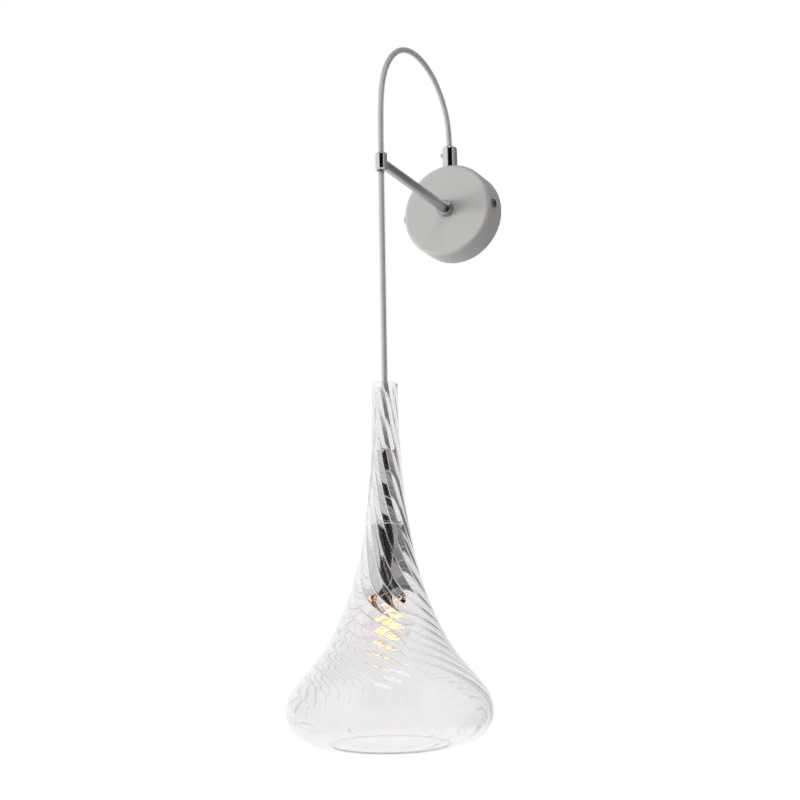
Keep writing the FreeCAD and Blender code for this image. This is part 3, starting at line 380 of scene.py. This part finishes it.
def shade_points():
    columns = RIB_COUNT * COLUMNS_PER_RIB
    phase = np.add.outer(np.arange(RIB_COUNT), RIB_STATIONS).ravel()
    around = 2 * np.pi * phase / RIB_COUNT

    def ring(radius, height):
        drop_mm = (SHADE_HIGH.z - WALL / 2 - height) / MM
        turn = around + valley_azimuth(drop_mm)
        return np.stack([radius * np.cos(turn), AXIS_Y + radius * np.sin(turn),
                         np.full(columns, 1.0) * height], 1)

    outer, outer_normal, outer_along = outline(OUTER_ROWS)
    inner, inner_normal, inner_along = outline(INNER_ROWS)
    rings = []
    for point, normal in zip(outer, outer_normal):
        drop_mm = (SHADE_HIGH.z - WALL / 2 - point[1]) / MM
        depth = rib_depth(drop_mm) * rib_profile(phase, drop_mm)
        rings.append(ring(point[0] - depth * normal[0], point[1] - depth * normal[1]))
    bottom_out, bottom_in = outer[-1], inner[-1] - inner_normal[-1] * WALL
    top_out, top_in = outer[0], inner[0] - inner_normal[0] * WALL

    def rim(start, end, beyond):
        middle = (start + end) / 2
        arm = (start - end) / 2
        reach = np.linalg.norm(arm)
        for k in range(1, RIM_ROWS):
            angle = math.pi * k / RIM_ROWS
            place = middle + arm * math.cos(angle) + beyond * reach * math.sin(angle)
            rings.append(ring(place[0], place[1]))

    rim(bottom_out - outer_normal[-1] * rib_depth(RIM_DROP) / 2, bottom_in, outer_along[-1])
    for point, normal in zip(inner[::-1], inner_normal[::-1]):
        place = point - normal * WALL
        rings.append(ring(place[0], place[1]))
    rim(top_in, top_out, -outer_along[0])
    return np.array(rings)


def make_shade():
    rings = shade_points()
    rows, columns, _ = rings.shape
    index = np.arange(rows * columns).reshape(rows, columns)
    below = np.roll(index, -1, axis=0)
    beside = np.roll(index, -1, axis=1)
    corner = np.roll(below, -1, axis=1)
    faces = np.stack([index, below, corner, beside], -1).reshape(-1, 4)
    shade = mesh_object("swirled_glass", rings.reshape(-1, 3), faces)
    edges = np.zeros(len(shade.data.edges) * 2, int)
    shade.data.edges.foreach_get("vertices", edges)
    edges = edges.reshape(-1, 2)
    row, column = edges // columns, edges % columns
    in_valley = (column[:, 0] == column[:, 1]) & (column[:, 0] % COLUMNS_PER_RIB == 0)
    on_outside = (row.max(1) < OUTER_ROWS) & (row.min(1) > 3)
    sharp = shade.data.attributes.get("sharp_edge")
    if sharp is None:
        sharp = shade.data.attributes.new("sharp_edge", "BOOLEAN", "EDGE")
    sharp.data.foreach_set("value", in_valley & on_outside)
    row_of_face = np.arange(len(faces)) // columns
    on_rim = (row_of_face >= OUTER_ROWS) & (row_of_face < OUTER_ROWS + RIM_ROWS)
    shade.data.polygons.foreach_set("material_index", on_rim.astype(int))
    return shade


shade = make_shade()
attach(shade, "shade")
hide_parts("glass_shade")

# ---------------------------------------------------------------- materials


def new_material(name):
    made = bpy.data.materials.new(name)
    made.use_nodes = True
    tree = made.node_tree
    return made, tree, tree.nodes["Principled BSDF"]


def add(tree, kind, **settings):
    node = tree.nodes.new(kind)
    for key, value in settings.items():
        setattr(node, key, value)
    return node


def noise(tree, scale, detail=2.0, stretch=None):
    """Noise fixed to the piece, with scale in features per metre."""
    place = add(tree, "ShaderNodeTexCoord")
    made = add(tree, "ShaderNodeTexNoise")
    made.inputs["Scale"].default_value = scale
    made.inputs["Detail"].default_value = detail
    source = place.outputs["Object"]
    if stretch:
        mapping = add(tree, "ShaderNodeMapping")
        mapping.inputs["Scale"].default_value = stretch
        tree.links.new(source, mapping.inputs["Vector"])
        source = mapping.outputs["Vector"]
    tree.links.new(source, made.inputs["Vector"])
    return made.outputs["Fac"]


def ramp(tree, source, stops):
    """Colour ramp over a 0 to 1 value; stops are (place, colour)."""
    node = add(tree, "ShaderNodeValToRGB")
    elements = node.color_ramp.elements
    while len(elements) < len(stops):
        elements.new(0.5)
    for element, (place, colour) in zip(elements, stops):
        element.position = place
        element.color = (*colour, 1.0)
    tree.links.new(source, node.inputs["Fac"])
    return node.outputs["Color"]


def spread(tree, source, low, high):
    node = add(tree, "ShaderNodeMapRange")
    node.inputs["To Min"].default_value = low
    node.inputs["To Max"].default_value = high
    tree.links.new(source, node.inputs["Value"])
    return node.outputs["Result"]


def math_node(tree, operation, first, second=0.0):
    node = add(tree, "ShaderNodeMath", operation=operation)
    for socket, value in zip(node.inputs, (first, second)):
        if isinstance(value, (int, float)):
            socket.default_value = value
        else:
            tree.links.new(value, socket)
    return node.outputs["Value"]


def bump(tree, shader, source, depth, strength=1.0):
    node = add(tree, "ShaderNodeBump")
    node.inputs["Strength"].default_value = strength
    node.inputs["Distance"].default_value = depth
    tree.links.new(source, node.inputs["Height"])
    tree.links.new(node.outputs["Normal"], shader.inputs["Normal"])


def shade_of(colour, share):
    return tuple(min(1.0, channel * share) for channel in colour)


def grey(tone):
    return (tone, tone, tone)


def metal(name, colour, rough_low, rough_high, grain, depth, stretch=None, metallic=1.0):
    made, tree, shader = new_material(name)
    shader.inputs["Metallic"].default_value = metallic
    tone = noise(tree, grain / 6, 3.0, stretch)
    fine = noise(tree, grain, 2.0, stretch)
    colours = ramp(tree, tone, [(0.3, shade_of(colour, 0.93)), (0.7, colour)])
    tree.links.new(colours, shader.inputs["Base Color"])
    tree.links.new(spread(tree, fine, rough_low, rough_high), shader.inputs["Roughness"])
    bump(tree, shader, fine, depth)
    return made


def plastic(name, colour, rough_low, rough_high, grain, depth):
    made, tree, shader = new_material(name)
    tone = noise(tree, grain / 3, 3.0)
    fine = noise(tree, grain, 3.0)
    colours = ramp(tree, tone, [(0.3, shade_of(colour, 0.96)), (0.7, shade_of(colour, 1.03))])
    tree.links.new(colours, shader.inputs["Base Color"])
    tree.links.new(spread(tree, fine, rough_low, rough_high), shader.inputs["Roughness"])
    bump(tree, shader, fine, depth)
    return made


PIPED_DEPTH = 2.5      # mirrorings past which light counts as running on inside a wall


def clear_for_shadows(tree, shader, output, tint):
    """Lamps shine through the glass, and piped light leaves it, instead of being stopped."""
    clear = add(tree, "ShaderNodeBsdfTransparent")
    clear.inputs["Color"].default_value = (*tint, 1.0)
    path = add(tree, "ShaderNodeLightPath")
    mixed = add(tree, "ShaderNodeMixShader")
    # Light that runs on and on inside the wall leaves it again.
    piped = math_node(tree, "GREATER_THAN", path.outputs["Glossy Depth"], PIPED_DEPTH)
    tree.links.new(math_node(tree, "MAXIMUM", path.outputs["Is Shadow Ray"], piped),
                   mixed.inputs["Fac"])
    tree.links.new(shader.outputs["BSDF"], mixed.inputs[1])
    tree.links.new(clear.outputs["BSDF"], mixed.inputs[2])
    tree.links.new(mixed.outputs["Shader"], output.inputs["Surface"])


def glass(name, colour, ior, rough_low, rough_high, ripple, depth):
    made, tree, shader = new_material(name)
    shader.inputs["Transmission Weight"].default_value = 1.0
    shader.inputs["IOR"].default_value = ior
    fine = noise(tree, ripple, 2.0)
    colours = ramp(tree, noise(tree, ripple / 3, 2.0),
                   [(0.3, shade_of(colour, 0.985)), (0.7, colour)])
    tree.links.new(colours, shader.inputs["Base Color"])
    tree.links.new(spread(tree, fine, rough_low, rough_high), shader.inputs["Roughness"])
    bump(tree, shader, fine, depth)
    clear_for_shadows(tree, shader, tree.nodes["Material Output"], shade_of(colour, 0.97))
    return made


def clear_plastic(name, colour, ior):
    made, tree, shader = new_material(name)
    shader.inputs["Transmission Weight"].default_value = 1.0
    shader.inputs["IOR"].default_value = ior
    colours = ramp(tree, noise(tree, 60.0), [(0.3, shade_of(colour, 0.98)), (0.7, colour)])
    tree.links.new(colours, shader.inputs["Base Color"])
    tree.links.new(spread(tree, noise(tree, 200.0), 0.02, 0.06), shader.inputs["Roughness"])
    clear_for_shadows(tree, shader, tree.nodes["Material Output"], colour)
    return made


def filament_glow():
    made, tree, shader = new_material("filament_glow")
    shader.inputs["Base Color"].default_value = (0.9, 0.5, 0.2, 1.0)
    hot = ramp(tree, noise(tree, 160.0), [(0.35, (1.0, 0.26, 0.05)), (0.5, (1.0, 0.42, 0.12)),
                                          (0.62, (1.0, 0.72, 0.42))])
    tree.links.new(hot, shader.inputs["Emission Color"])
    shader.inputs["Emission Strength"].default_value = 2.3
    return made


MATERIALS = {
    "rose_paint": plastic("rose_paint", (0.545, 0.532, 0.512), 0.5, 0.62, 1400.0, 0.03 * MM),
    "chrome": metal("chrome", (0.70, 0.70, 0.71), 0.03, 0.06, 300.0, 0.0005 * MM),
    "zinc": metal("zinc", (0.62, 0.63, 0.64), 0.28, 0.42, 900.0, 0.01 * MM),
    "nylon": plastic("nylon", (0.80, 0.75, 0.66), 0.35, 0.5, 900.0, 0.01 * MM),
    "terminal_plastic": plastic("terminal_plastic", (0.80, 0.79, 0.75), 0.35, 0.5, 900.0, 0.01 * MM),
    "brass": metal("brass", (0.80, 0.62, 0.30), 0.18, 0.32, 700.0, 0.006 * MM),
    "core_brown": plastic("core_brown", (0.20, 0.08, 0.04), 0.3, 0.4, 900.0, 0.01 * MM),
    "core_blue": plastic("core_blue", (0.04, 0.12, 0.42), 0.3, 0.4, 900.0, 0.01 * MM),
    "core_earth": plastic("core_earth", (0.30, 0.50, 0.06), 0.3, 0.4, 900.0, 0.01 * MM),
    "holder_plastic": plastic("holder_plastic", (0.84, 0.82, 0.76), 0.25, 0.4, 700.0, 0.01 * MM),
    "aluminium": metal("aluminium", (0.80, 0.80, 0.81), 0.2, 0.34, 800.0, 0.006 * MM),
    "solder": metal("solder", (0.55, 0.55, 0.57), 0.35, 0.5, 800.0, 0.02 * MM),
    "bulb_cap_metal": metal("bulb_cap_metal", (0.80, 0.76, 0.68), 0.15, 0.3, 800.0, 0.006 * MM),
    "cap_glass": plastic("cap_glass", (0.02, 0.02, 0.02), 0.1, 0.2, 500.0, 0.01 * MM),
    "bulb_glass": glass("bulb_glass", (0.99, 0.99, 0.985), 1.47, 0.0, 0.01, 60.0, 0.01 * MM),
    "filament": filament_glow(),
    "support_wire": metal("support_wire", (0.45, 0.43, 0.40), 0.3, 0.45, 900.0, 0.01 * MM),
    "shade_glass": glass("shade_glass", (0.952, 0.942, 0.946), 1.47, 0.0, 0.02, 45.0, 0.05 * MM),
    "seat_rubber": clear_plastic("seat_rubber", (0.95, 0.95, 0.94), 1.41),
    "cord_jacket": clear_plastic("cord_jacket", (0.97, 0.965, 0.955), 1.45),
}
# Cover screws: a darker copy of the chrome, with dark reflections painted into its colour; the real
# screws are probably the same chrome as the rest.
SCREW_CHROME_PAINTED_DARK = metal("screw_chrome_painted_dark", (0.22, 0.22, 0.23), 0.08, 0.16, 600.0, 0.002 * MM)
# Arm collar: a darker copy of the chrome, with dark reflections painted into its colour; the real collar
# is probably the same chrome as the rest.
COLLAR_CHROME_PAINTED_DARK = metal("collar_chrome_painted_dark", (0.42, 0.42, 0.43), 0.03, 0.07, 260.0, 0.06 * MM)
BRUSHED = metal("brushed_steel", (0.55, 0.55, 0.56), 0.38, 0.48, 900.0, 0.003 * MM, (1, 0.05, 1))
BRAID_LOOK = metal("braid_metal", (0.60, 0.585, 0.565), 0.46, 0.56, 900.0, 0.01 * MM, metallic=0.45)
SHADE_RIM = glass("shade_rim", (0.58, 0.65, 0.58), 1.45, 0.05, 0.12, 90.0, 0.05 * MM)


def paint_cad_nodes():
    for part in frame["record"]["subparts"]:
        node = frame["nodes"][part["node"]]
        material = MATERIALS[part["material_slot"]]
        node.data.materials.clear()
        node.data.materials.append(material)


paint_cad_nodes()
frame["nodes"]["arm_rod"].data.materials[0] = BRUSHED
# The cover screws and the collar get darker copies of the chrome: painted dark reflections.
frame["nodes"]["cover_screws"].data.materials[0] = SCREW_CHROME_PAINTED_DARK
frame["nodes"]["arm_collar"].data.materials[0] = COLLAR_CHROME_PAINTED_DARK
filament.data.materials.append(MATERIALS["filament"])
arch_braid.data.materials.append(BRAID_LOOK)
drop_braid.data.materials.append(BRAID_LOOK)
shade.data.materials.append(MATERIALS["shade_glass"])
shade.data.materials.append(SHADE_RIM)
for piece in (arch, drop):
    piece.data.materials.append(MATERIALS["cord_jacket"])

# ---------------------------------------------------------------- studio


def turn_share(degrees):
    """Place in STUDIO_WALLS of an azimuth, from the camera's own towards the object's right."""
    return 0.5 + degrees / 360


BULB_POWER = 0.12
FLOOR_SIZE = 12.0
FLOOR_HEIGHT = -1.15
MIRRORED_DEPTH = 1.5         # COMPARE takes 0.5 either way: light mirrored once or twice
FLOOR_LIFT = 0.50            # of white, which the floor shows beside its own colour
WHITE = grey(1.0)
AMBIENT = (0.40, 0.40, 0.41)
# Share of plain white in what shows through the glass without any mirroring.
CLEAR_SHARE = 0.70
# Direction from the pendant towards the camera, seen from above.
STUDIO_AZIMUTH = math.atan2(CAMERA_PLACE.y - AXIS_Y, CAMERA_PLACE.x)
# Round the room from behind the object by its left side, past the camera at 0 degrees, and
# back by its right side.
STUDIO_WALLS = [
    (turn_share(-180), WHITE),
    (turn_share(-60), grey(0.95)),
    (turn_share(-37), grey(0.90)),
    (turn_share(-33), grey(0.006)),
    (turn_share(32), grey(0.006)),
    (turn_share(36), (0.56, 0.52, 0.50)),
    (turn_share(54), (0.56, 0.52, 0.50)),
    (turn_share(60), grey(0.34)),
    (turn_share(85), grey(0.30)),
    (turn_share(112), grey(0.16)),
    (turn_share(140), grey(0.22)),
    (turn_share(158), WHITE),
]
# Against half the height of a direction plus a half: 0 is straight down and 1 straight up.
FLOOR_SHARE = [(0.04, grey(1.0)), (0.22, grey(0.0))]
CEILING_SHARE = [(0.84, grey(0.0)), (0.95, grey(1.0))]
FLOOR_TONE = grey(0.75)
CEILING_TONE = grey(0.30)


def area_lamp(name, place, target, size, power, mirrored=False):
    data = bpy.data.lights.new(name, "AREA")
    data.shape = "DISK"
    data.size = size
    data.energy = power
    lamp = bpy.data.objects.new(name, data)
    bpy.context.scene.collection.objects.link(lamp)
    lamp.location = place
    lamp.rotation_euler = (Vector(target) - Vector(place)).to_track_quat("-Z", "Y").to_euler()
    lamp.visible_glossy = mirrored
    lamp.visible_transmission = False
    return lamp


def bulb_light():
    """Warm light of the glowing wire on the lampholder round it."""
    data = bpy.data.lights.new("bulb_light", "POINT")
    data.energy = BULB_POWER
    data.color = (1.0, 0.45, 0.14)
    data.shadow_soft_size = FILAMENT_TOP_RADIUS
    lamp = bpy.data.objects.new("bulb_light", data)
    bpy.context.scene.collection.objects.link(lamp)
    lamp.parent = filament
    lamp.location = (0, AXIS_Y, (FILAMENT_LOW.z + FILAMENT_HIGH.z) / 2)
    lamp.visible_camera = False
    lamp.visible_glossy = False
    lamp.visible_transmission = False


def make_floor():
    corners = [(-1, -1), (1, -1), (1, 1), (-1, 1)]
    points = [(x * FLOOR_SIZE, y * FLOOR_SIZE, FLOOR_HEIGHT) for x, y in corners]
    floor = mesh_object("floor", points, [(0, 1, 2, 3)])
    made, tree, shader = new_material("floor")
    shader.inputs["Roughness"].default_value = 0.9
    shader.inputs["Specular IOR Level"].default_value = 0.1
    colours = ramp(tree, noise(tree, 3.0), [(0.3, (0.86, 0.86, 0.86)), (0.7, (0.88, 0.88, 0.88))])
    tree.links.new(colours, shader.inputs["Base Color"])
    path = add(tree, "ShaderNodeLightPath")
    shader.inputs["Emission Color"].default_value = (1.0, 1.0, 1.0, 1.0)
    lift = math_node(tree, "MULTIPLY", path.outputs["Is Camera Ray"], FLOOR_LIFT)
    tree.links.new(lift, shader.inputs["Emission Strength"])
    floor.data.materials.append(made)
    floor.visible_glossy = False
    floor.visible_transmission = False


def blend_colours(tree, factor, first, second):
    node = add(tree, "ShaderNodeMix", data_type="RGBA")
    sockets = {socket.identifier: socket for socket in node.inputs}
    values = {"Factor_Float": factor, "A_Color": first, "B_Color": second}
    for name, value in values.items():
        if isinstance(value, tuple):
            sockets[name].default_value = (*value, 1.0)
        elif isinstance(value, float):
            sockets[name].default_value = value
        else:
            tree.links.new(value, sockets[name])
    return [socket for socket in node.outputs if socket.identifier == "Result_Color"][0]


def studio_colour(tree):
    """What mirrors and bent light see: softboxes and dark gaps round the room."""
    place = add(tree, "ShaderNodeTexCoord")
    split = add(tree, "ShaderNodeSeparateXYZ")
    tree.links.new(place.outputs["Generated"], split.inputs["Vector"])
    azimuth = math_node(tree, "ARCTAN2", split.outputs["Y"], split.outputs["X"])
    turned = math_node(tree, "SUBTRACT", azimuth, STUDIO_AZIMUTH - math.pi)
    round_trip = math_node(tree, "FLOORED_MODULO", turned, 2 * math.pi)
    walls = ramp(tree, math_node(tree, "DIVIDE", round_trip, 2 * math.pi), STUDIO_WALLS)
    height = math_node(tree, "MULTIPLY", split.outputs["Z"], 0.5)
    share = math_node(tree, "ADD", height, 0.5)
    above_floor = blend_colours(tree, ramp(tree, share, FLOOR_SHARE), walls, FLOOR_TONE)
    return blend_colours(tree, ramp(tree, share, CEILING_SHARE), above_floor, CEILING_TONE)


def make_world():
    """White for the camera, a studio for mirrors and glass, and an even light on the rest."""
    world = bpy.data.worlds.new("studio")
    bpy.context.scene.world = world
    world.use_nodes = True
    tree = world.node_tree
    background = tree.nodes["Background"]
    path = add(tree, "ShaderNodeLightPath")
    studio = studio_colour(tree)
    mirrored = math_node(tree, "COMPARE", path.outputs["Glossy Depth"], MIRRORED_DEPTH)
    through = blend_colours(tree, CLEAR_SHARE, studio, WHITE)
    seen = blend_colours(tree, mirrored, through, studio)
    sharp = math_node(tree, "MAXIMUM", path.outputs["Is Glossy Ray"], path.outputs["Is Transmission Ray"])
    lit = blend_colours(tree, sharp, AMBIENT, seen)
    final = blend_colours(tree, path.outputs["Is Camera Ray"], lit, WHITE)
    tree.links.new(final, background.inputs["Color"])
    background.inputs["Strength"].default_value = 1.0


make_world()
make_floor()
area_lamp("key_lamp", (-1.9, -1.3, -0.15), (0, -0.05, -0.05), 1.5, 42.0)
area_lamp("high_lamp", (0.75, -1.55, 1.6), (0, -0.1, -0.05), 1.1, 8.0, True)
bulb_light()

bpy.context.scene.view_settings.view_transform = "Standard"
